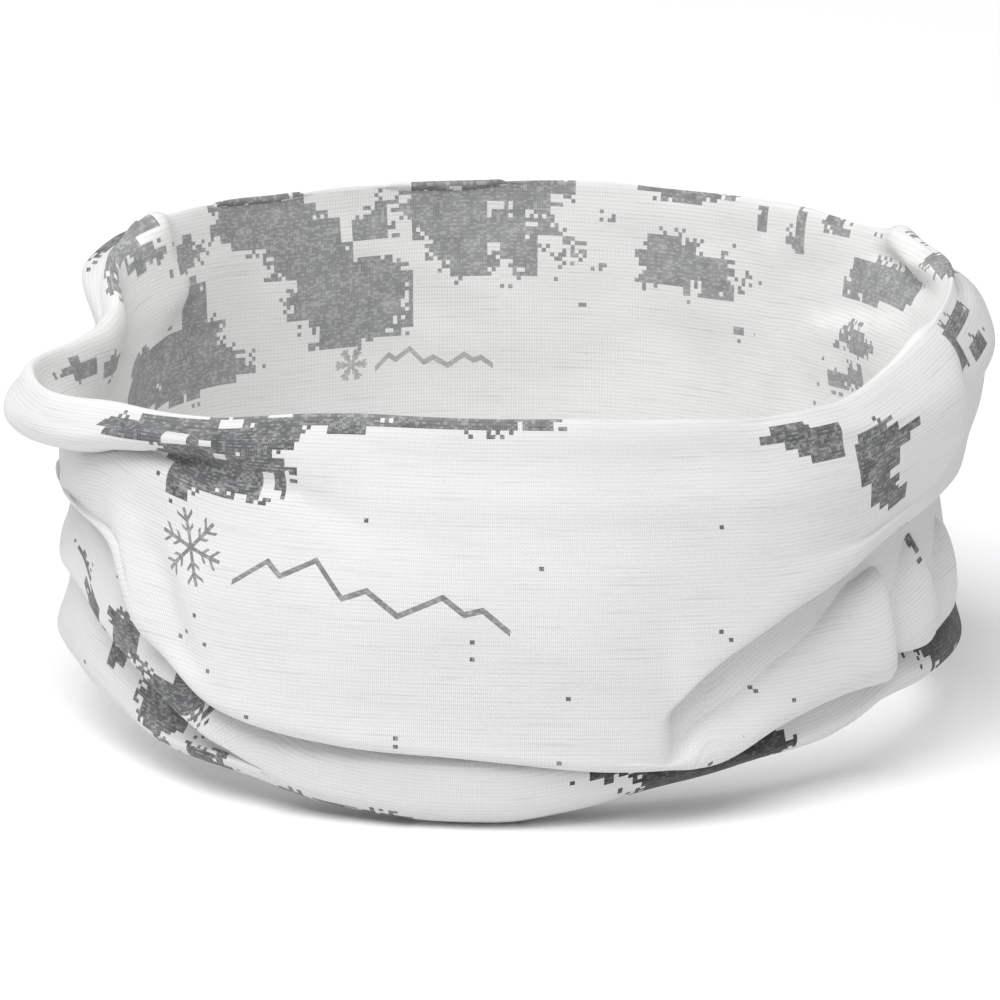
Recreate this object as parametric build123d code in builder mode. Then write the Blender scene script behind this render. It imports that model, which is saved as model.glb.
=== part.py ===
"""Neck gaiter: a seamless knitted tube, doubled and scrunched down into a ring that stands on its lower folds.

The frame has +Z up and -Y to the front, and its origin is at the middle of the footprint, on the surface that the
gaiter stands on. Every fold of the tube is a ring, oval in plan. The rings nest one inside the other, so that the
rim can be drawn up out of the lower folds like a sleeve.
"""

import os
from math import cos, hypot, pi, sin

from build123d import *

os.makedirs("parts", exist_ok=True)

# The opening that the neck goes through.
NECK_HALF_WIDTH = 75
NECK_HALF_DEPTH = 61

# Cloth thickness of the close-lying folds, and of the soft, loosely folded outer ones.
LAYER = 1.4
SOFT_LAYER = 2.2
FLOOR_LAYER = 1.8

# The rim stands higher at the back of the neck than at the throat.
RIM_FRONT = 75
RIM_BACK = 83

# Tops of the folds that stay down when the rim is drawn up, and the clearance it slides with.
GATHER_TOP = 68
HEM_TOP = 8
SLIDING_GAP = 0.6
HEM_GAP = 0.2

# The drape hangs lowest at the middle of the front and back, and its edge sweeps up towards the sides.
DRAPE_LOW_POINT = 13
DRAPE_SWEEP_RADIUS = 125

# The rounded turn of the cloth over the rim.
SHOULDER_RADIUS = 7

# The two outer folds as ovals from the bottom up: height, half width, half depth.
DRAPE_OUTLINE = [
    (5, 86.0, 78.5),
    (30, 86.5, 79.0),
    (50, 88.0, 78.0),
    (65, 92.0, 76.0),
    (78, 89.0, 72.0),
    (90, 81.0, 65.0),
]
ROLL_OUTLINE = [
    (0, 82.0, 69.0),
    (8, 85.3, 73.2),
    (20, 84.8, 74.2),
    (38, 82.0, 73.0),
    (52, 80.8, 70.0),
]

# Overlock thread over the two cut ends of the tube.
STITCH_PITCH = 4
STITCH_LENGTH = 5.2
STITCH_WIDTH = 0.7
STITCH_THICKNESS = 0.6
STITCH_SLANT = 25

# Half width and half depth of each nested wall, from the neck outwards.
neck = (NECK_HALF_WIDTH, NECK_HALF_DEPTH)
inner_outside = (neck[0] + LAYER, neck[1] + LAYER)
gather_inside = (inner_outside[0] + SLIDING_GAP, inner_outside[1] + SLIDING_GAP)
gather_outside = (gather_inside[0] + LAYER, gather_inside[1] + LAYER)
hem_inside = (gather_outside[0] + HEM_GAP, gather_outside[1] + HEM_GAP)
hem_outside = (hem_inside[0] + LAYER, hem_inside[1] + LAYER)

# The sloping plane that the rim lies in.
rim_slope = (RIM_BACK - RIM_FRONT) / (2 * NECK_HALF_DEPTH)
rim_plane = Plane(
    origin=(0, 0, (RIM_FRONT + RIM_BACK) / 2),
    x_dir=(1, 0, 0),
    z_dir=(0, -rim_slope, 1),
)


def oval_loft(outline, inset=0):
    """A solid through the ovals of an outline, all of them that much further in."""
    with BuildPart() as solid:
        for height, half_width, half_depth in outline:
            with BuildSketch(Plane.XY.offset(height)):
                Ellipse(half_width - inset, half_depth - inset)
        loft()
    return solid.part


def drape_dome(inset=0):
    """The drape before it is cut open: closed at the rim with a rounded shoulder, and that much further in."""
    with BuildPart() as dome:
        add(oval_loft(DRAPE_OUTLINE, inset))
        split(bisect_by=rim_plane.offset(-inset), keep=Keep.BOTTOM)
        fillet(dome.faces().sort_by(Axis.Z)[-1].edges(), radius=SHOULDER_RADIUS - inset)
    return dome.part


def wall_sketch(outside, inside):
    """An oval ring between two ovals."""
    Ellipse(*outside)
    Ellipse(*inside, mode=Mode.SUBTRACT)


def stitch_places(half_width, half_depth):
    """Evenly shared places round an oval hem, each facing straight out of its wall."""
    mean_radius = (half_width + half_depth) / 2
    count = round(2 * pi * mean_radius / STITCH_PITCH)
    places = []
    for number in range(count):
        turn = 2 * pi * number / count
        normal_x, normal_y = cos(turn) / half_width, sin(turn) / half_depth
        length = hypot(normal_x, normal_y)
        places.append(
            Plane(
                origin=(half_width * cos(turn), half_depth * sin(turn), (FLOOR_LAYER + HEM_TOP) / 2),
                x_dir=(0, 0, 1),
                z_dir=(normal_x / length, normal_y / length, 0),
            )
        )
    return places


# The fold against the neck, from just above its own hem up to the rim.
with BuildPart() as inner_layer:
    with BuildSketch(Plane.XY.offset(HEM_TOP + SLIDING_GAP)):
        wall_sketch(inner_outside, neck)
    extrude(amount=RIM_BACK)
    split(bisect_by=rim_plane, keep=Keep.BOTTOM)
inner_layer.part.label = "inner_layer"
export_step(inner_layer.part, "parts/inner_layer.step")

# The fold turned down over the rim. Its top rolls over the layers inside, and its skirt hangs free.
with BuildPart() as outer_drape:
    add(drape_dome())
    add(drape_dome(SOFT_LAYER), mode=Mode.SUBTRACT)
    with BuildSketch(Plane.XY):
        Ellipse(*inner_outside)
    extrude(amount=2 * RIM_BACK, mode=Mode.SUBTRACT)
    with BuildSketch(Plane.XZ):
        with Locations((0, DRAPE_LOW_POINT + DRAPE_SWEEP_RADIUS)):
            Circle(DRAPE_SWEEP_RADIUS)
    extrude(amount=2 * NECK_HALF_DEPTH, both=True, mode=Mode.INTERSECT)
outer_drape.part.label = "outer_drape"
export_step(outer_drape.part, "parts/outer_drape.step")

# The slack of the tube, gathered out of sight between the neck and the drape.
with BuildPart() as gathered_layer:
    with BuildSketch(Plane.XY.offset(FLOOR_LAYER)):
        wall_sketch(gather_outside, gather_inside)
    extrude(amount=GATHER_TOP - FLOOR_LAYER)
gathered_layer.part.label = "gathered_layer"
export_step(gathered_layer.part, "parts/gathered_layer.step")

# The bottom fold: a loose roll whose cloth turns in underneath and carries everything above it.
with BuildPart() as lower_roll:
    add(oval_loft(ROLL_OUTLINE))
    add(oval_loft(ROLL_OUTLINE, SOFT_LAYER), mode=Mode.SUBTRACT)
    with BuildSketch(Plane.XY):
        wall_sketch(ROLL_OUTLINE[0][1:], neck)
    extrude(amount=FLOOR_LAYER)
lower_roll.part.label = "lower_roll"
export_step(lower_roll.part, "parts/lower_roll.step")

# The hem at the end of the tube that lies against the neck.
with BuildPart() as inner_end_hem:
    with BuildSketch(Plane.XY.offset(FLOOR_LAYER)):
        wall_sketch(inner_outside, neck)
    extrude(amount=HEM_TOP - FLOOR_LAYER)
inner_end_hem.part.label = "inner_end_hem"
export_step(inner_end_hem.part, "parts/inner_end_hem.step")

# The hem at the other end, tucked up inside the bottom fold.
with BuildPart() as outer_end_hem:
    with BuildSketch(Plane.XY.offset(FLOOR_LAYER)):
        wall_sketch(hem_outside, hem_inside)
    extrude(amount=HEM_TOP - FLOOR_LAYER)
outer_end_hem.part.label = "outer_end_hem"
export_step(outer_end_hem.part, "parts/outer_end_hem.step")

# Overlock stitches on the neck side of the inner hem.
with BuildPart() as inner_end_stitching:
    with Locations(*stitch_places(*neck)):
        Box(STITCH_LENGTH, STITCH_WIDTH, STITCH_THICKNESS, rotation=(0, 0, STITCH_SLANT))
inner_end_stitching.part.label = "inner_end_stitching"
export_step(inner_end_stitching.part, "parts/inner_end_stitching.step")

# Overlock stitches on the outside of the tucked hem.
with BuildPart() as outer_end_stitching:
    with Locations(*stitch_places(*hem_outside)):
        Box(STITCH_LENGTH, STITCH_WIDTH, STITCH_THICKNESS, rotation=(0, 0, STITCH_SLANT))
outer_end_stitching.part.label = "outer_end_stitching"
export_step(outer_end_stitching.part, "parts/outer_end_stitching.step")
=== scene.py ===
import math

import bpy
import numpy as np
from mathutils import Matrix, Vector, noise


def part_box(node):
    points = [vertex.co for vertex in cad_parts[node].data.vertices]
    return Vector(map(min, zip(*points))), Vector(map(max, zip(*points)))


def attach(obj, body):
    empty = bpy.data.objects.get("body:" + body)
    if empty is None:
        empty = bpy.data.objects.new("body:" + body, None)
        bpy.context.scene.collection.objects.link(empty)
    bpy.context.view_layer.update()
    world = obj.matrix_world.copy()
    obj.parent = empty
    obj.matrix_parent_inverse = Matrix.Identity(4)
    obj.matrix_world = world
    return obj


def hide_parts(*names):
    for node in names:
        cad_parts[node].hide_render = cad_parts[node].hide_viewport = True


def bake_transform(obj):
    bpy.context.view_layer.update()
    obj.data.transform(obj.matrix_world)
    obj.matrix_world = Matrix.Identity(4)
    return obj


# Neck gaiter: one seamless knitted tube, doubled and scrunched into a ring of folds.
# Lengths are in millimetres until a mesh or a light is made. Turns are in degrees round the ring: 0 at the
# front (-Y), 90 at +X. Names that end in _z are heights above the floor, and names that end in _o are how
# far the cloth stands off the neck. In small letters, they hold a value for every column round the ring.

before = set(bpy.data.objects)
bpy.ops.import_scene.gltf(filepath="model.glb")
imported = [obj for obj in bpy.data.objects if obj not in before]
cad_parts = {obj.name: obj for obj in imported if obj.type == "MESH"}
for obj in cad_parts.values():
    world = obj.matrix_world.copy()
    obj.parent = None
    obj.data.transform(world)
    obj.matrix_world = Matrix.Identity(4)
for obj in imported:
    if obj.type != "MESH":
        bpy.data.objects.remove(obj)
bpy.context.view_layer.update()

MM = 0.001

# The flat tube: once round it, end to end, from the rim to the foot, and how thick its cloth is.
TUBE_ROUND = 500
TUBE_LENGTH = 480
FOOT_LENGTH = 240
CLOTH = 0.5
TUBE_RADIUS = TUBE_ROUND / (2 * math.pi)

# The mesh: columns round the ring, rows from end to end, and steps between control rows before thinning.
COLUMNS = 300
ROWS = 150
FINE_STEPS = 12
TURN = np.arange(COLUMNS) * 360 / COLUMNS - 180

# The neck is an oval on the middle of the inner fold's wall.
HALF_WALL = 0.7
wall_low, wall_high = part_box("inner_layer")
drape_low, drape_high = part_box("outer_drape")
NECK_X = wall_high.x / MM - HALF_WALL
NECK_Y = wall_high.y / MM - HALF_WALL
RIM_TOP = drape_high.z / MM

# Knit stitches: one wale and one course. Print: its blocks and its specks.
WALE = TUBE_ROUND / 758
COURSE = 0.75
BLOCK = (TUBE_ROUND / 200, 1.6)
SPECK = (TUBE_ROUND / 600, 0.8)

# The hems, their stitches and their thread.
HEM_HEIGHT = 5.6
HEM_HALF_THICKNESS = 0.75
HEM_SIDES = 14
HEM_ABOVE_FOOT = 2.6
STITCHES = 60
STEPS_A_STITCH = 24
THREAD_RADIUS = 0.28
THREAD_SIDES = 6


def around(keys):
    """A value given at a few turns round the ring, joined smoothly with no overshoot, at every column.

    Where both -180 and 180 are given, they are the same turn, and the value is level there.
    """
    turns = np.array(sorted(keys), float)
    values = np.array([keys[turn] for turn in turns], float)
    turns = np.concatenate([turns[-2:] - 360, turns, turns[:3] + 360])
    values = np.concatenate([values[-2:], values, values[:3]])
    widths = np.diff(turns)
    steps = np.diff(values) / np.where(widths > 0, widths, 1)
    before, after = steps[:-1], steps[1:]
    product = before * after
    slopes = np.where(product > 0, 2 * product / np.where(product > 0, before + after, 1), 0)
    slopes = np.concatenate([[0], slopes, [0]])
    at = np.clip(np.searchsorted(turns, TURN, "right") - 1, 1, len(turns) - 3)
    width = turns[at + 1] - turns[at]
    part = (TURN - turns[at]) / width
    return (
        values[at] * (1 + 2 * part) * (1 - part) ** 2
        + slopes[at] * width * part * (1 - part) ** 2
        + values[at + 1] * part**2 * (3 - 2 * part)
        + slopes[at + 1] * width * part**2 * (part - 1)
    )


def mix(first, second, share):
    """first where share is 0, second where it is 1."""
    return first + (second - first) * share


# The rim: its height, how far it stands off the neck, and half the thickness of its fold.
rim_z = RIM_TOP - around({
    -150: 0.8, -136: 0, -126: 0.5, -117: 4, -108: 12.5, -100: 14, -91: 14, -76: 13.8, -60: 13.2,
    -43: 11.5, -27: 8.8, -13: 7.9, 0: 8, 27: 9.7, 38: 11, 50: 11, 60: 8, 70: 4.5, 80: 1.6, 95: -1.0,
    110: -0.3, 132: 0.7, 180: 0.9,
})
rim_o = around({
    -150: 1.6, -136: 2.5, -126: 4, -117: 6.3, -108: -0.3, -102: -0.5, -94: 3, -82: 12, -72: 12.5, -58: 8,
    -40: 4.5, -20: 2, 0: 1.5, 30: 3, 50: 5, 70: 7, 90: 8, 110: 5, 130: 2.5, 150: 1.6, 180: 1.6,
})
crest = around({
    -150: 0.8, -128: 1.6, -112: 2.2, -98: 2.5, -70: 2.5, -55: 1.6, -40: 1.2, -20: 0.8, 0: 0.7, 60: 0.8,
    90: 1.0, 110: 1.6, 125: 1.6, 140: 0.8, 180: 0.7,
})

# The lip: how far the cloth outside the rim reaches out, and how far below the rim it does so.
lip_o = around({
    -160: 6, -140: 9, -125: 13.5, -117: 13, -108: 3, -98: 5, -88: 14, -78: 19, -66: 17.5, -50: 12, -35: 8,
    -15: 5, 0: 4.6, 20: 5, 45: 8.5, 65: 14, 87: 17, 102: 15.5, 118: 12, 135: 8, 160: 6,
})
lip_drop = around({
    -140: 5, -122: 5, -108: 4, -92: 5.5, -78: 6.5, -65: 5.5, -50: 3.5, -40: 4, -15: 7, 0: 8, 45: 9,
    87: 12, 118: 6, 180: 8,
})

# How far below the rim the roll's underside is, where there is one.
roll_drop = around({
    -130: 8, -105: 9, -90: 11, -78: 12, -65: 10, -56: 7, -46: 5.4, -25: 5.2, 0: 6, 100: 8, 120: 8,
})

# How strongly the rim is rolled outwards into a soft cuff.
cuff = around({
    -140: 0, -128: 0.7, -118: 1, -108: 0.8, -98: 0.6, -86: 1, -76: 1, -60: 1, -45: 0.85, -30: 0.5,
    -14: 0.05, 0: 0, 60: 0, 100: 0, 110: 0.6, 120: 0.8, 128: 0.5, 138: 0, 180: 0,
})

# The drape's distance from the neck: near the top, at the waist, and at its lower edge.
upper_o = around({
    -150: 10, -120: 8, -95: 6, -75: 7.5, -60: 9, -50: 9, -30: 8.6, 0: 8.5, 45: 10.5, 70: 13, 90: 14,
    110: 12, 150: 10, 180: 10,
})
waist_o = around({
    -150: 13, -110: 9, -90: 6.5, -72: 7, -60: 9, -45: 11.5, -25: 13.5, 0: 14, 40: 12.5, 60: 9.5, 75: 8,
    90: 7, 110: 9, 150: 13, 180: 14,
})
edge_o = around({
    -120: 11, -105: 7.5, -90: 5.6, -70: 8.8, -55: 11.5, -40: 14, -20: 16.5, 0: 17, 30: 15.5, 50: 13.5,
    70: 11.5, 90: 10, 120: 11, 180: 15,
})
WAIST_Z = 44
edge_z = around({
    -150: 22, -120: 35, -95: 46, -80: 46, -68: 45.5, -60: 45, -55: 43, -51.5: 36, -48.5: 30, -45: 26,
    -41: 22, -36: 18.5, -29: 16.5, -20: 15.5, 0: 13.5, 12: 11.5, 25: 10.5, 36: 16, 50: 20.5, 67: 22,
    90: 24, 120: 26, 150: 20, 180: 17,
})

# The slanting pleat at the right of the drape: its height, how far it is folded from 0 to 1, and how close
# the cloth's rows lie to it from 0 to 1. The rows draw together before the pleat begins.
PLEAT_INWARD = 8.5
pleat_z = around({
    -180: 40, -60: 30, 0: 22, 18: 20.5, 21: 21.5, 24: 25.8, 29.5: 31.2, 38.5: 38, 54: 44, 60: 45.6,
    75: 46.6, 90: 45.6, 120: 44, 180: 40,
})
pleat_depth = around({
    -180: 0, 0: 0, 19.8: 0, 22.8: 0.75, 25.8: 1, 60: 1, 75: 0.9, 95: 0.8, 120: 0.5, 150: 0,
})
pleat_reach = around({-180: 0, -30: 0, 12: 0.5, 22: 1, 95: 1, 130: 0.8, 170: 0})

# The second pleat, the same three ways, which parts a narrow strand from the bottom roll at the left.
STRAND_INWARD = 5.5
strand_z = around({
    -150: 12, -120: 24, -90: 28, -75: 31, -67.5: 29, -60.5: 25, -54: 21, -49.2: 17.9, -44.7: 14.7,
    -40.6: 12.3, -35: 9.5, -28: 8, 0: 8, 60: 14, 120: 14, 180: 10,
})
strand_depth = around({-180: 0, -115: 0, -90: 0.4, -68: 0.65, -60: 1, -44: 1, -36: 0.5, -28: 0, 0: 0})
strand_reach = around({-180: 0, -130: 0, -100: 0.8, -72: 1, -30: 1, 0: 0})

# The bottom roll: how far it stands off, its foot's height, and how far it lies behind the drape's edge.
roll_o = around({
    -150: 12, -120: 8.5, -90: 7, -65: 8, -45: 10.5, -25: 12.5, 0: 13, 30: 12.5, 60: 11.5, 90: 10.5,
    120: 11, 180: 12.5,
})
foot_z = around({
    -150: 1, -120: 5, -95: 12, -80: 14, -65: 10.5, -50: 6.5, -35: 5.5, -22: 1.8, -10: 0.6, 0: 0.5, 8: 2,
    20: 5.5, 32: 7.5, 45: 9.2, 50: 11, 56: 13.2, 62: 13.4, 75: 12.2, 90: 11, 120: 6, 150: 1.5, 180: 0.5,
})
edge_gap = around({
    -120: 2.8, -90: 0.6, -72: 1.5, -60: 2.2, -20: 2.2, 0: 2.5, 20: 3, 35: 5, 58: 5, 75: 3.5, 90: 2.8,
    180: 2.8,
})

# Out of sight: where the outer end's hem hangs, and how high the gathered slack reaches.
outer_hem_o = 0.2 * waist_o + 1.6
slack_top = around({
    -140: 66, -110: 55, -95: 49, -60: 47, -40: 55, 0: 66, 60: 60, 90: 58, 120: 60, 150: 68, 180: 70,
})


def drape_surface(height):
    """How far the drape stands off the neck at a height."""
    top = rim_z - 18
    above = np.clip((height - WAIST_Z) / np.maximum(top - WAIST_Z, 1), 0, 1)
    below = np.clip((WAIST_Z - height) / np.maximum(WAIST_Z - edge_z, 1), 0, 1)
    return mix(mix(waist_o, upper_o, above), edge_o, below**0.8)


# Rows across a pleat: their share of the panel's height, their height from the pleat where it is flat and
# where it is fully folded, how far they stand out there, and how far in as a share of the pleat's depth.
PLEAT_ROWS = [
    (0.10, 5.0, 5.0, 1.0, 0.0),
    (0.22, 2.5, 0.8, 1.5, 0.0),
    (0.34, 0.5, -0.2, -0.2, 0.0),
    (0.44, -1.5, 5.0, 0.0, 0.5),
    (0.54, -3.5, 7.0, 0.0, 0.9),
    (0.64, -5.5, 0.0, 0.0, 1.0),
    (0.76, -8.0, -4.0, 0.0, 0.85),
    (0.88, -12.0, -9.5, 0.0, 0.2),
]


def pleated(top_z, bottom_z, surface, fold_z, depth, reach, inward):
    """Rows down a panel of cloth, which turn in, up and back out at a pleat where depth is 1.

    surface gives the panel's stand-off at a height, and inward is how far in the folded cloth goes.
    """
    rows = []
    for share, flat_rise, rise, out, deep in PLEAT_ROWS:
        near_fold = np.clip(fold_z + mix(flat_rise, rise, depth), bottom_z + 1, top_z + 2)
        height = mix(mix(top_z, bottom_z, share), near_fold, reach)
        rows.append((surface(height) + (out - deep * inward) * depth, height))
    return rows


def wall_rows(slack_high):
    """Rows from the inner end, up the wall that lies against the neck."""
    return [
        (0 * TURN, foot_z + 4),
        (0 * TURN, foot_z + 10),
        (0 * TURN, 24 + 0 * TURN),
        (-0.6 + 0 * TURN, 40 + 0 * TURN),
        (-0.4 + 0 * TURN, slack_high + 1),
        (0.6 * (rim_o - crest), rim_z - 9),
    ]


def rim_rows():
    """Rows over the rim and out to the lip."""
    return [
        (rim_o - crest, rim_z - 1.6 * crest),
        (rim_o - 0.4 * crest, rim_z + 0.3),
        (rim_o + 0.4 * crest, rim_z + 0.3),
        (rim_o + 1.1 * crest, rim_z - 1.6 * crest),
        (mix(rim_o + crest, lip_o, 0.6), mix(rim_z - crest, rim_z - lip_drop, 0.45)),
        (lip_o, rim_z - lip_drop),
    ]


def cuff_rows(tuck_z, below_z):
    """Rows in under the rolled cuff and back out to the drape."""
    under_z = rim_z - mix(14, roll_drop, cuff)
    tuck_o = 2.6 + 0.35 * np.maximum(rim_o, 0)
    return [
        (mix(drape_surface(under_z), lip_o - 1.5, cuff), under_z),
        (mix(drape_surface(tuck_z), tuck_o, cuff), tuck_z),
        (mix(drape_surface(tuck_z - 3), tuck_o - 0.4, cuff), tuck_z - mix(2.5, 0.6, cuff)),
        (drape_surface(tuck_z - 4), tuck_z - mix(5, 1.4, cuff)),
        (drape_surface(below_z), below_z),
    ]


def slack_rows(low_edge_z, slack_high):
    """Rows of the hidden slack, which goes up and down behind the drape and ends at its lower edge."""
    def slack_z(share):
        return mix(low_edge_z, slack_high, share)

    rows = [
        (mix(edge_o, 0.60 * waist_o, 0.6), slack_z(0.3)),
        (0.60 * waist_o, slack_z(0.75)),
        (0.59 * waist_o, slack_high),
        (0.54 * waist_o, slack_high),
    ]
    # Each pass is closer to the neck than the one before, and goes the other way.
    for number, share in enumerate((0.53, 0.46, 0.39, 0.32)):
        upward = number % 2
        ends = (slack_z(0.15), slack_high) if upward else (slack_high, slack_z(0.15))
        rows += [
            (share * waist_o, mix(*ends, 0.2)),
            (share * waist_o, mix(*ends, 0.6)),
            (share * waist_o, ends[1]),
            ((share - 0.05) * waist_o, ends[1]),
        ]
    return rows + [
        (0.26 * waist_o, slack_z(0.7)),
        (mix(edge_o, 0.26 * waist_o, 0.8), slack_z(0.12)),
    ]


def foot_rows(slack_high):
    """Rows round the foot, up inside the bottom roll, and down again to the outer end."""
    return [
        (roll_o - 0.6, foot_z + 2.2),
        (roll_o - 4, foot_z - 0.3),
        (mix(roll_o, 2, 0.65), foot_z),
        (2.4 + 0 * TURN, foot_z + 2.5),
        (0.15 * waist_o + 0.4, foot_z + 16),
        (0.15 * waist_o + 0.4, slack_high - 12),
        (0.15 * waist_o + 0.4, slack_high),
        (0.23 * waist_o + 0.3, slack_high),
        (0.23 * waist_o + 0.3, slack_high - 20),
        (0.23 * waist_o + 1, foot_z + 14),
        (outer_hem_o, foot_z + 7),
    ]


def profile_rows():
    """Control rows from the inner end of the tube to the outer end, and the numbers of four of them.

    A row is how far the cloth stands off the neck, and its height. The four are the rim, the drape's
    edge, the top of the bottom panel, and the foot.
    """
    tuck_z = rim_z - mix(18, roll_drop + 0.8, cuff)
    below_z = rim_z - mix(26, roll_drop + 6, cuff)
    low_edge_z = np.minimum(edge_z, below_z - 6)
    slack_high = np.minimum(slack_top, np.minimum(tuck_z - 5, rim_z - 15))

    def roll_surface(height):
        rise = np.clip((height - foot_z) / np.maximum(low_edge_z - foot_z, 1), 0, 1)
        return mix(roll_o, edge_o - edge_gap, rise**1.5)

    rows = wall_rows(slack_high)
    rim_row = len(rows) + 2
    rows += rim_rows() + cuff_rows(tuck_z, below_z)
    pleat = (pleat_z, pleat_depth, pleat_reach, PLEAT_INWARD)
    rows += pleated(below_z, low_edge_z, drape_surface, *pleat)
    edge_row = len(rows) + 1
    rows += [
        (edge_o + 0.3, low_edge_z + 2.5),
        (edge_o - 0.4, low_edge_z - 0.4),
        (edge_o - 2.6, low_edge_z + 0.8),
    ]
    rows += slack_rows(low_edge_z, slack_high)
    panel_row = len(rows)
    strand = (strand_z, strand_depth, strand_reach, STRAND_INWARD)
    rows += pleated(low_edge_z + 1, foot_z + 3, roll_surface, *strand)
    foot_row = len(rows) + 1
    rows += foot_rows(slack_high)
    return np.array(rows), [rim_row, edge_row, panel_row, foot_row]


def smooth_rows(rows, marks):
    """The cubic B-spline along the control rows, cut into ROWS rows, and where the marks fall.

    The rows lie closest together at the rim, and furthest apart where the cloth is out of sight.
    """
    rim, edge, panel, foot = marks
    detail = np.ones(len(rows))
    detail[:2] = 0.6
    detail[rim - 2:rim + 3] = 2.5
    detail[edge + 3:panel - 1] = 0.33
    detail[foot + 3:] = 0.33
    detail = np.interp(np.arange(0, len(rows) + 1, 1 / FINE_STEPS) - 1, np.arange(len(rows)), detail)
    ends = [rows[:1], rows[:1], rows, rows[-1:], rows[-1:]]
    nodes = np.concatenate(ends)
    fine = []
    for start in range(len(nodes) - 3):
        for step in range(FINE_STEPS):
            t = step / FINE_STEPS
            weights = [(1 - t) ** 3, 3 * t**3 - 6 * t**2 + 4, -3 * t**3 + 3 * t**2 + 3 * t + 1, t**3]
            fine.append(sum(weight / 6 * nodes[start + number] for number, weight in enumerate(weights)))
    fine.append(nodes[-1])
    fine = np.array(fine)
    spacing = np.sqrt((np.diff(fine, axis=0) ** 2).sum(axis=1)).mean(axis=1) + 0.05
    spacing *= detail[:len(spacing)]
    reach = np.concatenate([[0], np.cumsum(spacing)])
    wanted = np.linspace(0, reach[-1], ROWS)
    at = np.clip(np.searchsorted(reach, wanted, "right") - 1, 0, len(fine) - 2)
    part = ((wanted - reach[at]) / (reach[at + 1] - reach[at]))[:, None, None]
    marked = [int(np.searchsorted(wanted, reach[(mark + 1) * FINE_STEPS])) for mark in marks]
    return fine[at] * (1 - part) + fine[at + 1] * part, marked


def neck_oval(turn):
    """Points on the neck's oval at turns in radians, and the directions straight out from it there."""
    oval = np.array([NECK_X * np.sin(turn), -NECK_Y * np.cos(turn)])
    outward = np.array([np.sin(turn) / NECK_X, -np.cos(turn) / NECK_Y])
    return oval, outward / np.sqrt((outward**2).sum(axis=0))


def ring_positions(rows):
    """Rows of stand-off and height, as points round the oval neck."""
    oval, outward = neck_oval(np.radians(TURN))
    flat = oval[None] + outward[None] * rows[:, 0][:, None]
    return np.concatenate([flat, rows[:, 1][:, None]], axis=1).transpose(0, 2, 1)


def printed_side(points):
    """Unit normals on the printed face of the cloth."""
    along = np.gradient(points, axis=0)
    across = (np.roll(points, -1, axis=1) - np.roll(points, 1, axis=1)) / 2
    normal = np.cross(along, across)
    return normal / np.maximum(np.linalg.norm(normal, axis=2, keepdims=True), 1e-9)


# Small folds on the flat cloth: kind, width, depth, and the line it follows as turns round the ring and
# millimetres from the rim. A ridge stands out and a dent lies in. A step stands out on one side of its line,
# the side of smaller turns where the line runs down the drape, and fades away.
STEP_FADE = 13
STROKES = [
    ("step", 1.2, 4.0, [(58.5, 50), (57, 55), (55.5, 60), (54.8, 66), (55, 73), (57, 83)]),
    ("dent", 4.5, 2.6, [(61.5, 50), (60, 56), (58.5, 62), (58, 68), (59, 78)]),
    ("step", 1.2, 3.2, [(69, 40), (68.5, 48), (68.5, 56), (67.5, 66), (66, 78)]),
    ("dent", 3.5, 2.4, [(73.5, 42), (73, 52), (72.5, 60), (71, 70)]),
    ("ridge", 2.5, 2.6, [(82, 44), (80, 54), (78, 64), (74, 76)]),
    ("step", 1.3, 2.6, [(76, 0), (74, 4), (71.5, 10), (72, 15), (73, 21), (75, 28)]),
    ("ridge", 1.5, 0.7, [(35, 1.5), (42, 3), (50, 5), (58, 8), (64, 10)]),
    ("ridge", 4.0, 1.6, [(-58, 27), (-53, 33), (-50, 42), (-46, 52)]),
    ("dent", 3.5, 2.0, [(-51, 29), (-46, 37), (-43, 46), (-38, 53)]),
    ("dent", 3.0, 1.8, [(-74, 192), (-71, 199), (-68, 206)]),
    ("step", 1.2, 4.2, [(-126.5, 2), (-126.5, -4), (-127, -9), (-128.5, -14), (-131, -18)]),
    ("dent", 2.0, 1.6, [(-113, 3), (-118, -1), (-123, -4)]),
    ("step", 0.9, 2.4, [(136, -22.5), (127, -21.5), (120, -20), (113, -18.5), (106, -16.5), (98, -14)]),
    ("ridge", 3.0, 0.9, [(138, -4), (137.5, -15), (137, -28), (137, -42)]),
    ("ridge", 2.5, 2.4, [(116, 1), (110, -2.5), (103, -5), (95, -4), (86, -2)]),
    ("dent", 1.8, 2.0, [(118, 5), (110, 3), (100, 2), (92, 2), (82, 4)]),
    ("dent", 1.6, 1.6, [(118, -6), (110, -7), (103, -8.5), (95, -8)]),
    ("step", 1.6, 2.5, [(118, 8), (128, 22), (131, 34), (128, 46)]),
    ("step", 1.6, 3.0, [(-170, 20), (-160, 30), (-140, 38), (-120, 42)]),
    ("dent", 3.0, 2.0, [(150, 30), (165, 36), (180, 38)]),
    ("step", 1.6, 2.5, [(172, 44), (155, 52), (138, 54), (122, 50)]),
    ("ridge", 4.0, 1.6, [(-100, 22), (-108, 34), (-122, 50)]),
]


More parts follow.
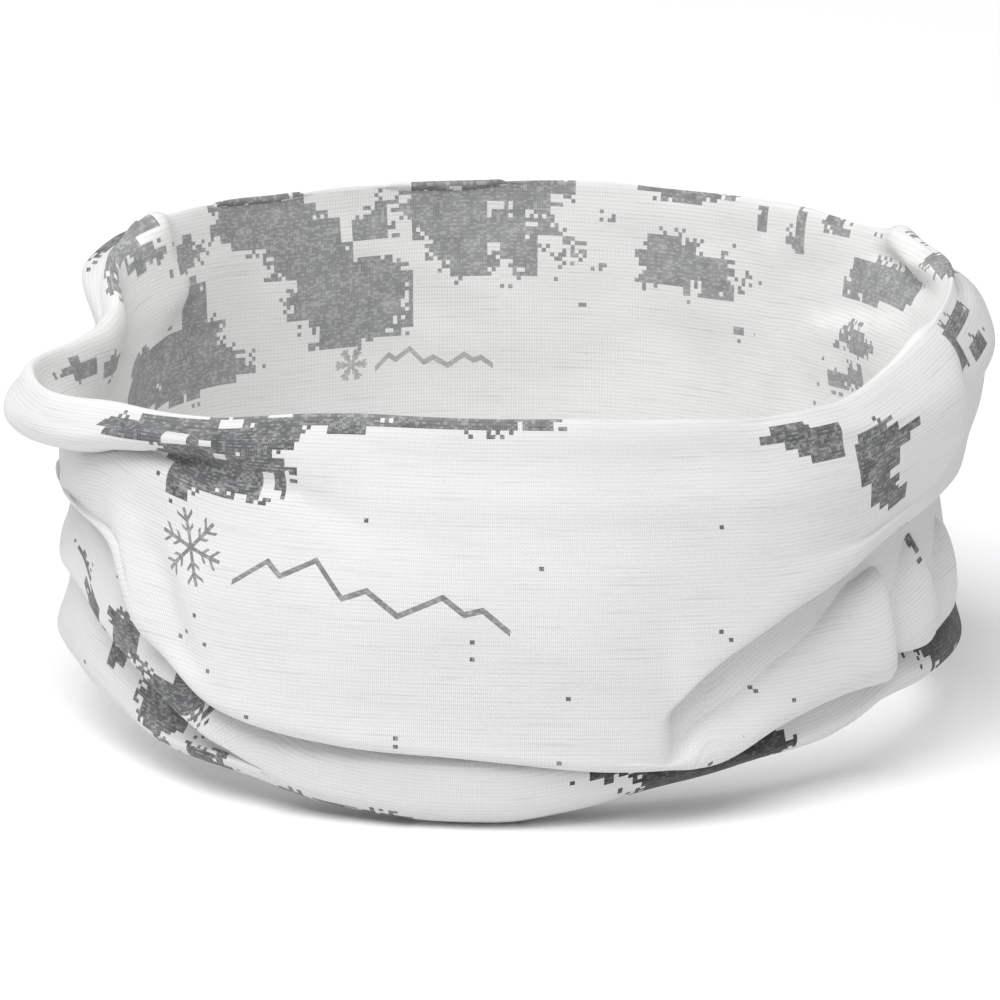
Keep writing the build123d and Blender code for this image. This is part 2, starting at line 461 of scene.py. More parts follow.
def stroke_height(around_mm, along, kind, width, depth, line):
    """How far one small fold lifts each point of the cloth."""
    nearest = np.full(along.shape, 1e9)
    side = np.zeros(along.shape)
    place = np.zeros(along.shape)
    count = len(line) - 1
    for number in range(count):
        (turn_a, start_v), (turn_b, end_v) = line[number], line[number + 1]
        start_u = turn_a / 360 * TUBE_ROUND
        step_u, step_v = (turn_b - turn_a) / 360 * TUBE_ROUND, end_v - start_v
        off_u = (around_mm - start_u + TUBE_ROUND / 2) % TUBE_ROUND - TUBE_ROUND / 2
        off_v = along - start_v
        share = np.clip((off_u * step_u + off_v * step_v) / (step_u**2 + step_v**2), 0, 1)
        apart = np.hypot(off_u - share * step_u, off_v - share * step_v)
        closer = apart < nearest
        nearest = np.where(closer, apart, nearest)
        side = np.where(closer, np.sign(step_u * off_v - step_v * off_u), side)
        place = np.where(closer, (number + share) / count, place)
    fade = np.clip(4 * place, 0, 1) * np.clip(4 * (1 - place), 0, 1)
    fade = fade * fade * (3 - 2 * fade)
    if kind == "step":
        signed = nearest * side
        lift = 0.5 * (1 + np.tanh(signed / width)) * np.exp(-(np.maximum(signed, 0) / STEP_FADE) ** 2)
    else:
        lift = np.exp(-((nearest / width) ** 2))
    return (-1 if kind == "dent" else 1) * depth * lift * fade


def in_view(marked):
    """1 on the rows that can be seen, 0 on the hidden slack and at the two sewn ends."""
    _, edge, panel, foot = marked
    places = [0, 6, edge, edge + 4, panel - 4, panel, foot, foot + 5]
    return np.interp(np.arange(ROWS), places, [0, 1, 1, 0, 0, 1, 1, 0])[:, None]


# The cloth's unevenness: broad swells, and finer ones that are wider than they are high. The front is
# calmer, by this share at its middle and within about this turn of it.
BROAD_SIZE = 34
BROAD_DEPTH = 1.6
FINE_SIZE = (16, 16, 7)
FINE_DEPTH = 0.55
FINE_SHIFT = Vector((9, 4, 2))
FRONT_CALM = 0.55
FRONT_TURN = 45


def unevenness(along):
    """How far the cloth swells in and out at each point, from noise on the rolled-up flat tube."""
    angle = TURN * math.pi / 180
    uneven = np.zeros(along.shape)
    for row in range(ROWS):
        for column in range(COLUMNS):
            frontward = TUBE_RADIUS * math.cos(angle[column])
            rightward = TUBE_RADIUS * math.sin(angle[column])
            place = Vector((frontward, rightward, along[row, column]))
            broad = noise.noise(place / BROAD_SIZE)
            scaled = Vector([value / size for value, size in zip(place, FINE_SIZE)])
            fine = noise.noise(scaled + FINE_SHIFT)
            uneven[row, column] = BROAD_DEPTH * broad + FINE_DEPTH * fine
    return uneven * (1 - FRONT_CALM * np.exp(-((TURN / FRONT_TURN) ** 2)))


def crumpled(points, along, marked):
    """The cloth with its small folds and its natural unevenness.

    Inside, from 8 to 15 mm below the rim, it comes to move only towards the neck, because the slack lies
    right behind it.
    """
    around_mm = np.broadcast_to(TURN / 360 * TUBE_ROUND, along.shape)
    lift = sum(stroke_height(around_mm, along, *stroke) for stroke in STROKES)
    moved = (lift + unevenness(along)) * in_view(marked)
    inside = np.arange(ROWS)[:, None] < marked[0]
    deep = np.clip((-along - 8) / 7, 0, 1) * inside
    moved = mix(moved, np.maximum(moved, 0), deep)
    return points + printed_side(points) * moved[:, :, None]


def cloth_lengths(points, marked):
    """Each point's distance along the flat cloth in millimetres: 0 at the rim, FOOT_LENGTH at the foot.

    The hidden slack takes up what is left between the drape's edge and the bottom panel.
    """
    rim, edge, panel, foot = marked
    steps = np.linalg.norm(np.diff(points, axis=0), axis=2)
    reach = np.concatenate([np.zeros((1, COLUMNS)), np.cumsum(steps, axis=0)])
    from_rim = reach - reach[rim]
    from_foot = FOOT_LENGTH + reach - reach[foot]
    row = np.arange(ROWS)[:, None]
    share = np.clip((row - edge) / (panel - edge), 0, 1)
    return mix(from_rim, from_foot, share)


def cloth_mesh(points, along):
    """The tube as a mesh, with its flat cloth coordinates in metres as its UV map."""
    vertices = (points * MM).reshape(-1, 3)
    faces, flat = [], []
    for row in range(ROWS - 1):
        for column in range(COLUMNS):
            after = (column + 1) % COLUMNS
            corners = [(row, column), (row, after), (row + 1, after), (row + 1, column)]
            faces.append([r * COLUMNS + c for r, c in corners][::-1])
            rounds = [column, column + 1, column + 1, column][::-1]
            for (r, c), place in zip(corners[::-1], rounds):
                around_mm = (place / COLUMNS - 0.5) * TUBE_ROUND
                flat.append((around_mm * MM, along[r, c] * MM))
    mesh = bpy.data.meshes.new("knit_tube")
    mesh.from_pydata(vertices.tolist(), [], faces)
    layer = mesh.uv_layers.new(name="cloth")
    layer.data.foreach_set("uv", np.array(flat, np.float32).ravel())
    mesh.polygons.foreach_set("use_smooth", [True] * len(faces))
    mesh.update()
    return mesh


def build_tube():
    rows, marked = smooth_rows(*profile_rows())
    points = ring_positions(rows)
    along = cloth_lengths(points, marked)
    points = crumpled(points, along, marked)
    tube = bpy.data.objects.new("knit_tube", cloth_mesh(points, along))
    bpy.context.scene.collection.objects.link(tube)
    smooth = tube.modifiers.new("smooth", "SUBSURF")
    smooth.levels = 0
    smooth.render_levels = 1
    thick = tube.modifiers.new("thickness", "SOLIDIFY")
    thick.thickness = CLOTH * MM
    thick.offset = -1
    return tube


class Graph:
    """Short calls that add nodes to a material and join them up."""

    def __init__(self, material):
        material.use_nodes = True
        self.nodes = material.node_tree.nodes
        self.links = material.node_tree.links
        self.shader = self.nodes["Principled BSDF"]

    def add(self, kind, inputs, **settings):
        node = self.nodes.new(kind)
        for name, value in settings.items():
            setattr(node, name, value)
        for name, value in inputs.items():
            if isinstance(value, bpy.types.NodeSocket):
                self.links.new(value, node.inputs[name])
            else:
                node.inputs[name].default_value = value
        return node

    def math(self, operation, *values, clamp=False):
        inputs = dict(enumerate(values))
        return self.add("ShaderNodeMath", inputs, operation=operation, use_clamp=clamp).outputs[0]

    def vector(self, operation, *values):
        inputs = dict(enumerate(values))
        output = "Value" if operation == "LENGTH" else "Vector"
        return self.add("ShaderNodeVectorMath", inputs, operation=operation).outputs[output]

    def join(self, x, y, z=0.0):
        return self.add("ShaderNodeCombineXYZ", {"X": x, "Y": y, "Z": z}).outputs[0]

    def split(self, vector):
        return self.add("ShaderNodeSeparateXYZ", {0: vector}).outputs

    def ramp(self, value, low, high, to_low=0.0, to_high=1.0):
        inputs = {"Value": value, "From Min": low, "From Max": high, "To Min": to_low, "To Max": to_high}
        return self.add("ShaderNodeMapRange", inputs, interpolation_type="SMOOTHSTEP").outputs[0]

    def noise(self, vector, scale, detail=2.0, roughness=0.5):
        inputs = {"Vector": vector, "Scale": scale, "Detail": detail, "Roughness": roughness}
        return self.add("ShaderNodeTexNoise", inputs).outputs["Fac"]

    def white(self, vector):
        return self.add("ShaderNodeTexWhiteNoise", {"Vector": vector}).outputs["Value"]

    def blend(self, share, first, second):
        inputs = {"Factor": share, "A": first, "B": second}
        node = self.nodes.new("ShaderNodeMix")
        node.data_type = "RGBA"
        sockets = {"Factor": node.inputs[0], "A": node.inputs[6], "B": node.inputs[7]}
        for name, value in inputs.items():
            if isinstance(value, bpy.types.NodeSocket):
                self.links.new(value, sockets[name])
            else:
                sockets[name].default_value = value
        return node.outputs[2]


# The print: patches of grey blocks on the flat cloth, as place round the tube, place along it from the rim
# (the drape is positive, the inside negative), half width, half height, and how firmly they are filled.
PATCHES = [
    # Inside the back, from the left to the middle.
    (-199, -5, 12, 7, 1.8), (-209, -12, 10, 6, 1.5), (-219, -23, 14, 8.5, 1.6), (-224, -9, 5, 3, 0.8),
    (-238, -7, 9, 6, 0.9), (-246, -2, 16, 3.5, 1.0), (-243, -12, 7, 7, 0.8), (247, -12, 12, 6, 0.35),
    # Inside the back, at the right.
    (213, -15, 8, 6, 0.9), (204, -17, 6, 5, 0.7), (212, 0, 12, 2.6, 1.0), (194, -4.5, 2.2, 2.2, 0.8),
    (184, -5.5, 2.2, 4, 0.8), (174, -2.5, 4, 2, 0.6), (199, -27, 3, 1, 0.7),
    # Inside at the left, and on the rolled cuff.
    (-181, -10.5, 5, 3, 0.6), (-176, -31, 9, 8, 1.8), (-163, -29, 10, 6, 1.6), (-187, -33, 10, 3.5, 1.3),
    (-181, -21, 4, 7, 1.4), (-183, -28, 6, 5, 1.4), (-127, -7.5, 5, 2, 0.7), (-140, -10, 4, 2, 0.6),
    (-163, -2, 9, 2.5, 0.9), (-168, -7, 6, 2, 0.7), (-170, 5, 8, 3, 1.2),
    # The front: at the left, along the middle of the rim, and at the right.
    (-66, 3.4, 13, 3.4, 1.8), (-50, 3.4, 14, 4.5, 1.8), (-59.5, 12, 8, 6, 1.8),
    (-47, 11.5, 7.5, 5.5, 1.6), (-62.5, 18, 3.6, 3, 1.4), (-7, -0.4, 17, 2.6, 1.3),
    (-30, 0.2, 10, 2.6, 1.0), (56, 3.6, 6, 2, 1.5), (63.5, 6.2, 6, 3.2, 1.8), (75, 12, 5.2, 6, 1.8),
    (81, 11, 4, 1.8, 1.4), (76, 19, 3.2, 3, 1.6), (80.5, 22.5, 2.6, 2, 1.2), (82, 31, 1.6, 1.2, 0.8),
    # Inside at the right, and outside it.
    (153, -11, 15, 3.8, 1.8), (163, -13.5, 8, 2.6, 1.2), (161, -23, 8, 2.5, 0.5), (161, -30, 5, 3, 0.6),
    (168, -32, 4, 2, 0.6), (103, 5.5, 3, 5, 1.6), (111, 9, 4, 1.6, 0.8), (146, 2, 8, 3, 0.9),
    (131, -1, 7, 2.4, 0.8), (110, 3, 8, 2, 0.8), (91, 53, 1.6, 4, 0.5), (94, 62, 1.5, 2, 0.3),
    # The bottom roll, and the strand above it at the left.
    (110, 228, 24, 8, 1.8), (138, 222, 10, 9, 1.4), (37, 234, 15, 9, 1.8), (17, 241, 12, 3, 1.0),
    (-3, 241, 12, 2.6, 0.8), (21, 228, 6, 2, 0.5), (-30, 238, 12, 3, 0.5), (-70, 230, 7, 5, 1.6),
    (-56, 236, 8, 3, 0.35), (-77, 204, 4.5, 6, 1.1), (-63, 210, 8, 5, 0.55), (-47, 216, 12, 4, 0.4),
    (-88, 208, 4, 3, 0.8), (-86, 228, 3, 2, 0.8), (-94, 203.5, 5, 1, 0.6),
    # Behind, where the photograph doesn't show.
    (-204, 22, 16, 6, 1.5), (-192, 32, 10, 8, 1.4), (-180, 24, 8, 3, 0.9), (-166, 46, 12, 5, 1.2),
    (-172, 38, 5, 7, 1.0), (-142, 58, 12, 6, 0.9), (172, 22, 14, 4.5, 1.3), (164, 31, 6, 6, 1.2),
    (210, 44, 20, 4.5, 1.4), (196, 52, 8, 8, 1.3), (222, 57, 12, 3, 0.8), (140, 46, 9, 5, 1.2),
    (148, 56, 6, 5, 0.8), (240, 16, 12, 4.5, 1.2), (248, 26, 5, 7, 0.9), (-155, 224, 18, 5, 1.3),
    (-139, 232, 10, 4, 0.9), (195, 226, 20, 4.5, 1.4), (176, 234, 10, 5, 1.0), (-205, 232, 16, 5, 1.0),
    # Inside the front and the sides, hidden too.
    (-25, -42, 13, 4.5, 1.4), (-12, -34, 7, 6, 1.1), (34, -32, 15, 4.5, 1.3), (22, -24, 6, 6, 1.0),
    (79, -44, 12, 4.5, 1.2), (70, -36, 5, 6, 0.9), (-75, -50, 12, 5, 1.3), (-62, -43, 5, 6, 1.0),
    (0, -12, 12, 4, 0.9), (60, -12, 14, 4, 1.0), (-40, -14, 12, 4, 1.1), (118, -58, 14, 5, 1.1),
    (-110, -60, 16, 6, 1.0),
]

# Bare holes in the front's patches, in the same way: four at the left, and the gap in the patch at the
# right.
HOLES = [
    (-63, 4.4, 3.2, 1.7, 3.0), (-51.5, 1.2, 3.0, 1.0, 3.0), (-56, 5.6, 1.5, 1.0, 3.0),
    (-43.75, 13.6, 1.2, 3.0, 3.0), (68.75, 9.5, 1.2, 8.0, 3.0),
]

# How strongly noise, whole blocks and single specks break up a patch's outline, and how loose specks are
# dusted on the bare cloth: where, and how many of them.
OUTLINE_NOISE = 1.5
OUTLINE_BLOCKS = 0.3
OUTLINE_SPECKS = 0.26
PRINT_EDGE = (OUTLINE_NOISE + OUTLINE_BLOCKS + OUTLINE_SPECKS) / 2
DUSTED_ABOVE = 0.6
LOOSE_ABOVE = 0.99


def cells(graph, flat, size):
    """The middle of the cell of that size which each place on the cloth is in."""
    scaled = graph.vector("DIVIDE", flat, (*size, 1))
    middle = graph.vector("ADD", graph.vector("FLOOR", scaled), (0.5, 0.5, 0))
    return graph.vector("MULTIPLY", middle, (*size, 1))


def round_tube(graph, flat):
    """Flat cloth coordinates rolled up, so that noise has no join round the tube."""
    x, y, _ = graph.split(flat)
    angle = graph.math("MULTIPLY", x, 2 * math.pi / TUBE_ROUND)
    frontward = graph.math("MULTIPLY", graph.math("COSINE", angle), TUBE_RADIUS)
    rightward = graph.math("MULTIPLY", graph.math("SINE", angle), TUBE_RADIUS)
    return graph.join(frontward, rightward, y)


def patch_depth(graph, block, place_round, place_along, half_width, half_height, fill):
    """fill at the middle of a patch, 0 on its outline, and less outside it."""
    limit = TUBE_ROUND / 2
    apart = graph.vector("SUBTRACT", block, (place_round, place_along, 0))
    apart = graph.vector("WRAP", apart, (limit, 2 * TUBE_LENGTH, 1), (-limit, -2 * TUBE_LENGTH, -1))
    distance = graph.vector("LENGTH", graph.vector("DIVIDE", apart, (half_width, half_height, 1)))
    return graph.math("MULTIPLY_ADD", distance, -fill, fill)


def camouflage(graph, flat):
    """1 where the pixelated print is, 0 on bare cloth."""
    block = cells(graph, flat, BLOCK)
    strongest = -1.0
    for patch in PATCHES:
        strongest = graph.math("MAXIMUM", patch_depth(graph, block, *patch), strongest)
    for hole in HOLES:
        bare = graph.math("MULTIPLY", patch_depth(graph, block, *hole), -1)
        strongest = graph.math("MINIMUM", bare, strongest)
    uneven = graph.noise(round_tube(graph, block), 0.16, 3.0)
    speck = cells(graph, flat, SPECK)
    value = graph.math("MULTIPLY_ADD", uneven, OUTLINE_NOISE, strongest)
    value = graph.math("MULTIPLY_ADD", graph.white(block), OUTLINE_BLOCKS, value)
    value = graph.math("MULTIPLY_ADD", graph.white(speck), OUTLINE_SPECKS, value)
    patches = graph.math("GREATER_THAN", value, PRINT_EDGE)
    dusty = graph.noise(round_tube(graph, flat), 0.05, 1.0)
    dusted = graph.math("GREATER_THAN", dusty, DUSTED_ABOVE)
    other_speck = graph.vector("ADD", speck, (0, 0, 7))
    loose = graph.math("GREATER_THAN", graph.white(other_speck), LOOSE_ABOVE)
    return graph.math("MAXIMUM", patches, graph.math("MULTIPLY", dusted, loose))


def turned(graph, flat, middle_u, middle_v, degrees):
    """Cloth coordinates seen from a place on the cloth, turned by an angle."""
    x, y, _ = graph.split(graph.vector("SUBTRACT", flat, (middle_u, middle_v, 0)))
    sine, cosine = math.sin(math.radians(degrees)), math.cos(math.radians(degrees))
    across = graph.math("MULTIPLY_ADD", x, cosine, graph.math("MULTIPLY", y, sine))
    down = graph.math("MULTIPLY_ADD", y, cosine, graph.math("MULTIPLY", x, -sine))
    return across, down


def snowflake(graph, across, down, radius, line):
    """1 on a six-armed star, each arm with two pairs of side branches. line is half a line's width."""
    reach = graph.vector("LENGTH", graph.join(across, down))
    angle = graph.math("ARCTAN2", down, across)
    arm = graph.math("PINGPONG", graph.math("ADD", angle, math.pi), math.pi / 6)
    along_arm = graph.math("MULTIPLY", reach, graph.math("COSINE", arm))
    beside_arm = graph.math("MULTIPLY", reach, graph.math("SINE", arm))
    stem = graph.math("LESS_THAN", beside_arm, line)
    branch = graph.math("SUBTRACT", along_arm, graph.math("MULTIPLY", beside_arm, 0.9))
    for place, long in ((0.38, 0.2), (0.66, 0.26)):
        from_branch = graph.math("ABSOLUTE", graph.math("SUBTRACT", branch, place * radius))
        on_line = graph.math("LESS_THAN", from_branch, line)
        within = graph.math("LESS_THAN", beside_arm, long * radius)
        stem = graph.math("MAXIMUM", stem, graph.math("MULTIPLY", on_line, within))
    return graph.math("MULTIPLY", stem, graph.math("LESS_THAN", reach, radius))


# The ridge's corners, as shares of its length and height.
MOUNTAIN_TOPS = [
    (0.0, 0.1), (0.12, 0.75), (0.18, 0.5), (0.3, 1.0), (0.42, 0.3), (0.5, 0.55), (0.62, 0.12), (0.76, 0.66),
    (0.84, 0.36), (0.9, 0.5), (1.0, 0.08),
]


def ridge_line(graph, across, down, length, height, line):
    """1 on a line like a row of mountain tops. line is half its width, measured up and down."""
    curve = graph.add("ShaderNodeFloatCurve", {"Value": graph.math("DIVIDE", across, length)})
    points = curve.mapping.curves[0].points
    for number, (x, y) in enumerate(MOUNTAIN_TOPS):
        point = points[number] if number < 2 else points.new(x, y)
        point.location = (x, y)
        point.handle_type = "VECTOR"
    curve.mapping.update()
    top = graph.math("MULTIPLY", curve.outputs[0], -height)
    apart = graph.math("ABSOLUTE", graph.math("SUBTRACT", down, top))
    on_line = graph.math("LESS_THAN", apart, line)
    from_middle = graph.math("ABSOLUTE", graph.math("SUBTRACT", across, length / 2))
    within = graph.math("LESS_THAN", from_middle, length / 2)
    return graph.math("MULTIPLY", on_line, within)


def motif(graph, flat, middle_u, middle_v, degrees, size):
    """1 on the printed motif: a snowflake, 14 mm across at size 1, beside a mountain ridge."""
    across, down = turned(graph, flat, middle_u, middle_v, degrees)
    star = snowflake(graph, across, down, 7 * size, 0.36)
    ridge_across = graph.math("ADD", across, -10.5 * size)
    ridge_down = graph.math("ADD", down, -3.5 * size)
    ridge = ridge_line(graph, ridge_across, ridge_down, 50 * size, 8.5 * size, 0.6)
    return graph.math("MAXIMUM", star, ridge)


def knit_relief(graph, flat):
    """The V stitches of plain jersey, from 0 between the yarns to 1 on them."""
    x, y, _ = graph.split(flat)
    wale = graph.math("FRACT", graph.math("DIVIDE", x, WALE))
    beside = graph.math("ABSOLUTE", graph.math("MULTIPLY_ADD", wale, 2, -1))
    leg = graph.math("SINE", graph.math("MULTIPLY", beside, math.pi))
    slant = graph.math("MULTIPLY_ADD", beside, 0.6, graph.math("DIVIDE", y, COURSE))
    loop = graph.math("ABSOLUTE", graph.math("SINE", graph.math("MULTIPLY", slant, math.pi)))
    return graph.math("MULTIPLY", leg, graph.math("POWER", loop, 0.6))


# Colours of the bare cloth and of the ink. The ink is painted darkest low at the right, as painted shade.
# The inside colours are painted lighter than the outside ones, as painted light on walls that lie in shade.
PLAIN_INSIDE_PAINTED_LIGHT = (0.80, 0.805, 0.79, 1)
PLAIN_OUTSIDE = (0.675, 0.675, 0.675, 1)
INK_INSIDE_PAINTED_LIGHT = (0.232, 0.24, 0.24, 1)
INK_OUTSIDE = (0.05, 0.054, 0.058, 1)
INK_PAINTED_SHADE_LOW_RIGHT = (0.012, 0.013, 0.014, 1)

# Each motif: place round the tube, place along it, angle, size, and how strongly it is printed.
MOTIFS = [(-58, 28.5, 7, 1.0, 0.85), (-219.5, -35.5, 180, 0.48, 0.75)]


def knit_shade(graph, rolled, relief, streaks):
    """How light the knit is: darker between its loops and on the streaks in the yarn, and softly clouded."""
    shade = graph.math("MULTIPLY_ADD", relief, 0.26, 0.83)
    shade = graph.math("MULTIPLY", shade, graph.math("MULTIPLY_ADD", streaks, -0.13, 1))
    cloudy = graph.ramp(graph.noise(rolled, 0.03, 2.0), 0.3, 0.7, 0.975, 1.02)
    return graph.math("MULTIPLY", shade, cloudy)


def bare_yarn(graph, flat, rolled, relief):
    """How far the bare yarn shows through the ink: single flecks, worn areas, and between the loops."""
    yarn = cells(graph, flat, (WALE, COURSE / 2))
    fleck = graph.math("GREATER_THAN", graph.white(yarn), 0.72)
    worn = graph.math("MULTIPLY_ADD", graph.noise(rolled, 0.35, 3.0), 0.8, -0.31)
    between = graph.math("MULTIPLY_ADD", relief, -0.55, 0.4)
    return graph.math("MULTIPLY_ADD", fleck, 0.3, graph.math("ADD", worn, between), clamp=True)


def cloth_and_ink(graph, flat, rolled, relief):
    """Bare cloth and ink colours at each place, with painted light inside and painted shade low at the
    right.
    """
    along_cloth = graph.split(flat)[1]
    # Inside the tube the cloth and the ink are painted lighter, as painted light where the inner walls lie
    # in shade.
    outside = graph.ramp(along_cloth, -5.0, 4.0)
    plain = graph.blend(outside, PLAIN_INSIDE_PAINTED_LIGHT, PLAIN_OUTSIDE)
    dark = graph.blend(outside, INK_INSIDE_PAINTED_LIGHT, INK_OUTSIDE)
    # Painted shade: the ink goes darker low at the right, where the folds at the foot lie in shadow.
    at_right = graph.ramp(graph.split(rolled)[1], -30, 20)
    painted_shade_low_right = graph.math("MULTIPLY", graph.ramp(along_cloth, 120, 200), at_right)
    dark = graph.blend(painted_shade_low_right, dark, INK_PAINTED_SHADE_LOW_RIGHT)
    bare = bare_yarn(graph, flat, rolled, relief)
    # Less bare yarn shows through the ink low at the right, which darkens the print further as painted
    # shade.
    bare_share = graph.math("MULTIPLY_ADD", painted_shade_low_right, -0.38, 0.6)
    return plain, graph.blend(graph.math("MULTIPLY", bare, bare_share), dark, plain)


def knit_material():
    material = bpy.data.materials.new("printed_knit")
    graph = Graph(material)
    shader = graph.shader
    place = graph.add("ShaderNodeUVMap", {}, uv_map="cloth").outputs[0]
    flat = graph.vector("MULTIPLY", place, (1 / MM, 1 / MM, 0))
    rolled = round_tube(graph, flat)
    relief = knit_relief(graph, flat)
    streak_place = graph.vector("MULTIPLY", flat, (0.07, 2.2, 1))
    streaks = graph.ramp(graph.noise(streak_place, 1, 3.0), 0.54, 0.74)
    printed = camouflage(graph, flat)
    for *placing, strength in MOTIFS:
        mark = graph.math("MULTIPLY", motif(graph, flat, *placing), strength)
        printed = graph.math("MAXIMUM", printed, mark)
    plain, ink = cloth_and_ink(graph, flat, rolled, relief)
    tint = graph.vector("SCALE", graph.blend(printed, plain, ink))
    graph.links.new(knit_shade(graph, rolled, relief, streaks), tint.node.inputs["Scale"])
    graph.links.new(tint, shader.inputs["Base Color"])
    bump = graph.add("ShaderNodeBump", {"Height": relief, "Strength": 0.5, "Distance": 0.12 * MM})
    graph.links.new(bump.outputs[0], shader.inputs["Normal"])
    rough = graph.math("MULTIPLY_ADD", streaks, 0.05, 0.88)
    graph.links.new(rough, shader.inputs["Roughness"])
    shader.inputs["Sheen Weight"].default_value = 0.15
    shader.inputs["Sheen Roughness"].default_value = 0.6
    shader.inputs["Specular IOR Level"].default_value = 0.2
    return material


def ring_mesh(name, rings):
    """A closed band from rings of points, each ring joined to the next and the last to the first."""
    rings = np.array(rings)
    count, columns = rings.shape[:2]
    faces, flat = [], []
    for ring in range(count):
        for column in range(columns):
            after, beyond = (column + 1) % columns, (ring + 1) % count
            faces.append([ring * columns + column, beyond * columns + column, beyond * columns + after,
                          ring * columns + after])
            for r, c in ((ring, column), (ring + 1, column), (ring + 1, column + 1), (ring, column + 1)):
                flat.append(((c / columns - 0.5) * TUBE_ROUND * MM, r * MM))
    mesh = bpy.data.meshes.new(name)
    mesh.from_pydata((rings * MM).reshape(-1, 3).tolist(), [], faces)
    mesh.uv_layers.new(name="cloth").data.foreach_set("uv", np.array(flat, np.float32).ravel())
    mesh.polygons.foreach_set("use_smooth", [True] * len(faces))
    mesh.update()
    band = bpy.data.objects.new(name, mesh)
    bpy.context.scene.collection.objects.link(band)
    return band


def build_hem(name, stand_off, bottom_z):
    """A folded band round one end of the tube, bound over the cloth's edge."""
    rings = []
    for number in range(HEM_SIDES):
        angle = 2 * math.pi * number / HEM_SIDES
        out = HEM_HALF_THICKNESS * math.copysign(abs(math.cos(angle)) ** 0.8, math.cos(angle))
        up = HEM_HEIGHT / 2 * (1 + math.copysign(abs(math.sin(angle)) ** 0.5, math.sin(angle)))
        rows = np.array([[stand_off + out, bottom_z + up]])
        rings.append(ring_positions(rows)[0])
    return ring_mesh(name, rings)


def build_stitching(name, stand_off, bottom_z, face):
    """A zigzag of overlock thread over one face of a hem, as one closed cord."""
    steps = STITCHES * STEPS_A_STITCH
    turn = np.arange(steps) / steps * 2 * math.pi - math.pi
    wave = np.abs((np.arange(steps) / (STEPS_A_STITCH / 2)) % 2 - 1)
    off = np.interp(np.degrees(turn), TURN, stand_off, period=360)
    low = np.interp(np.degrees(turn), TURN, bottom_z, period=360)
    off = off + face * (HEM_HALF_THICKNESS + 0.25 - 0.35 * np.abs(2 * wave - 1) ** 4)
    height = low + 0.3 + (HEM_HEIGHT - 0.6) * wave
    oval, outward = neck_oval(turn)
    path = np.array([*(oval + outward * off), height]).T
    ahead = np.roll(path, -1, axis=0) - np.roll(path, 1, axis=0)
    ahead /= np.linalg.norm(ahead, axis=1, keepdims=True)
    first = np.array([*outward, 0 * turn]).T
    second = np.cross(ahead, first)
    second /= np.linalg.norm(second, axis=1, keepdims=True)
    rings = []
    for number in range(THREAD_SIDES):
        angle = 2 * math.pi / THREAD_SIDES * number
        rings.append(path + THREAD_RADIUS * (math.cos(angle) * first + math.sin(angle) * second))
    return ring_mesh(name, rings)


def plain_material(name, colour, sheen):
    """Undyed knit or thread: fine twisted yarn, without the print."""
    material = bpy.data.materials.new(name)
    graph = Graph(material)
    shader = graph.shader
    place = graph.add("ShaderNodeUVMap", {}, uv_map="cloth").outputs[0]
    flat = graph.vector("MULTIPLY", place, (1 / MM, 1 / MM, 0))
    relief = knit_relief(graph, flat)
    shade = graph.math("MULTIPLY_ADD", relief, 0.2, 0.85)
    cloudy = graph.ramp(graph.noise(flat, 0.6, 3.0), 0.3, 0.7, 0.92, 1.04)
    tint = graph.vector("SCALE", colour)
    graph.links.new(graph.math("MULTIPLY", shade, cloudy), tint.node.inputs["Scale"])
    graph.links.new(tint, shader.inputs["Base Color"])
    bump = graph.add("ShaderNodeBump", {"Height": relief, "Strength": 0.6, "Distance": 0.15 * MM})
    graph.links.new(bump.outputs[0], shader.inputs["Normal"])
    shader.inputs["Roughness"].default_value = 0.85
    shader.inputs["Sheen Weight"].default_value = sheen
    shader.inputs["Specular IOR Level"].default_value = 0.25
    return material


tube = build_tube()
tube.data.materials.append(knit_material())
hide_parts("inner_layer", "outer_drape", "gathered_layer", "lower_roll")
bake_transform(tube)

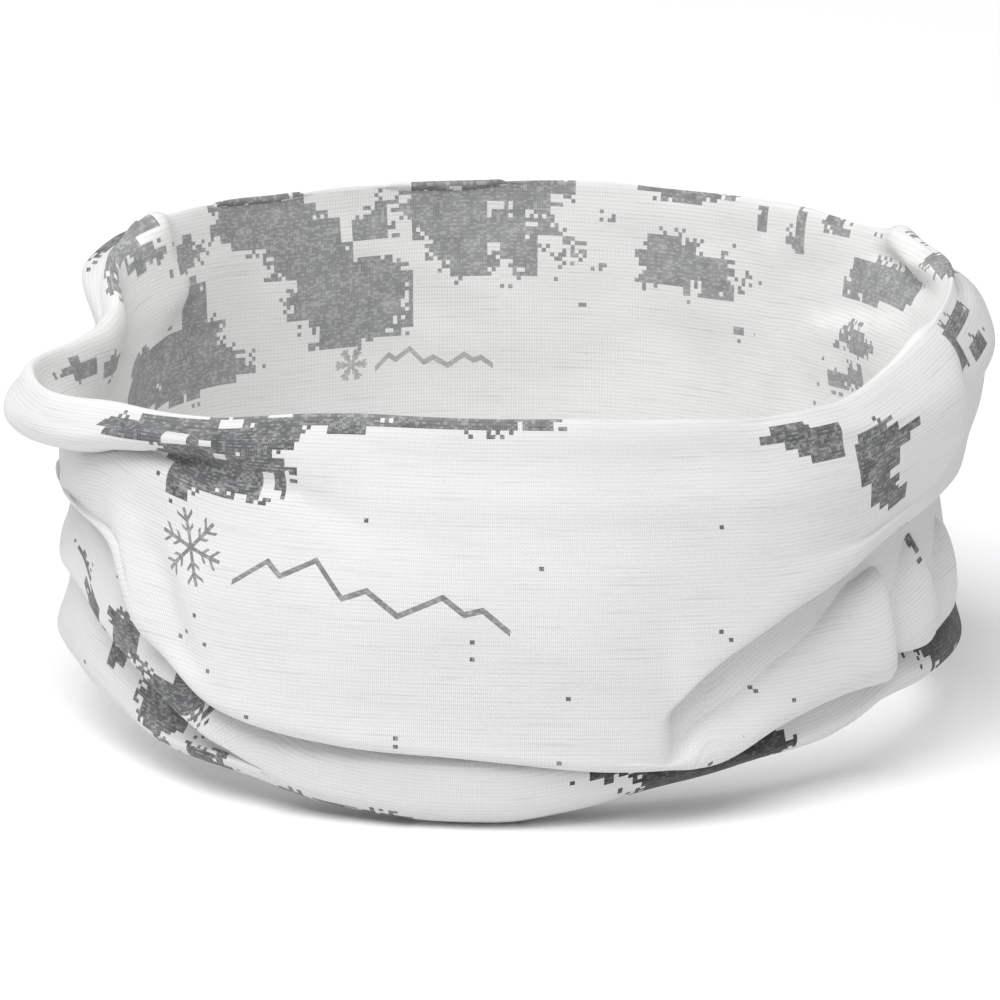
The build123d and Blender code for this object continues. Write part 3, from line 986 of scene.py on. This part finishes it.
hem_knit = plain_material("hem_knit", (0.70, 0.70, 0.69), 0.15)
thread = plain_material("overlock_thread", (0.5, 0.5, 0.51), 0.05)
sewn_on = []
for end, stand_off, face in (("inner", 0 * TURN, -1), ("outer", outer_hem_o, 1)):
    bottom_z = foot_z + HEM_ABOVE_FOOT
    hem = build_hem(f"{end}_hem_band", stand_off, bottom_z)
    hem.data.materials.append(hem_knit)
    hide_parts(f"{end}_end_hem")
    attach(hem, "lower_folds")
    stitches = build_stitching(f"{end}_overlock", stand_off, bottom_z, face)
    stitches.data.materials.append(thread)
    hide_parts(f"{end}_end_stitching")
    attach(stitches, "lower_folds")
    sewn_on += [hem, stitches]


def build_stage():
    floor_mesh = bpy.data.meshes.new("floor")
    half = 3
    corners = [(-half, -half, 0), (half, -half, 0), (half, half, 0), (-half, half, 0)]
    floor_mesh.from_pydata(corners, [], [(0, 1, 2, 3)])
    floor = bpy.data.objects.new("floor", floor_mesh)
    bpy.context.scene.collection.objects.link(floor)
    material = bpy.data.materials.new("floor")
    material.use_nodes = True
    shader = material.node_tree.nodes["Principled BSDF"]
    shader.inputs["Base Color"].default_value = (0.95, 0.95, 0.95, 1)
    shader.inputs["Roughness"].default_value = 0.9
    floor_mesh.materials.append(material)


def build_light():
    world = bpy.data.worlds.new("studio")
    bpy.context.scene.world = world
    world.use_nodes = True
    background = world.node_tree.nodes["Background"]
    background.inputs["Color"].default_value = (1, 1, 1, 1)
    background.inputs["Strength"].default_value = 0.56
    soft = bpy.data.lights.new("key", "AREA")
    soft.shape = "RECTANGLE"
    soft.size = 1.6
    soft.size_y = 1.2
    soft.energy = 27
    lamp = bpy.data.objects.new("key", soft)
    lamp.location = (-0.4, -0.65, 1.45)
    lamp.rotation_euler = (Vector((0, 0, 0.04)) - lamp.location).to_track_quat("-Z", "Y").to_euler()
    bpy.context.scene.collection.objects.link(lamp)


def build_camera():
    elevation = math.radians(18)
    distance = 3
    view_width = 0.186
    target = Vector((0, 0, 0.0395))
    camera_data = bpy.data.cameras.new("camera")
    camera = bpy.data.objects.new("camera", camera_data)
    camera.location = target + distance * Vector((0, -math.cos(elevation), math.sin(elevation)))
    camera.rotation_euler = (math.radians(90) - elevation, 0, 0)
    camera_data.sensor_width = 36
    camera_data.lens = camera_data.sensor_width * distance / view_width
    bpy.context.scene.collection.objects.link(camera)
    bpy.context.scene.camera = camera


build_stage()
build_light()
build_camera()
bpy.context.scene.view_settings.view_transform = "Standard"
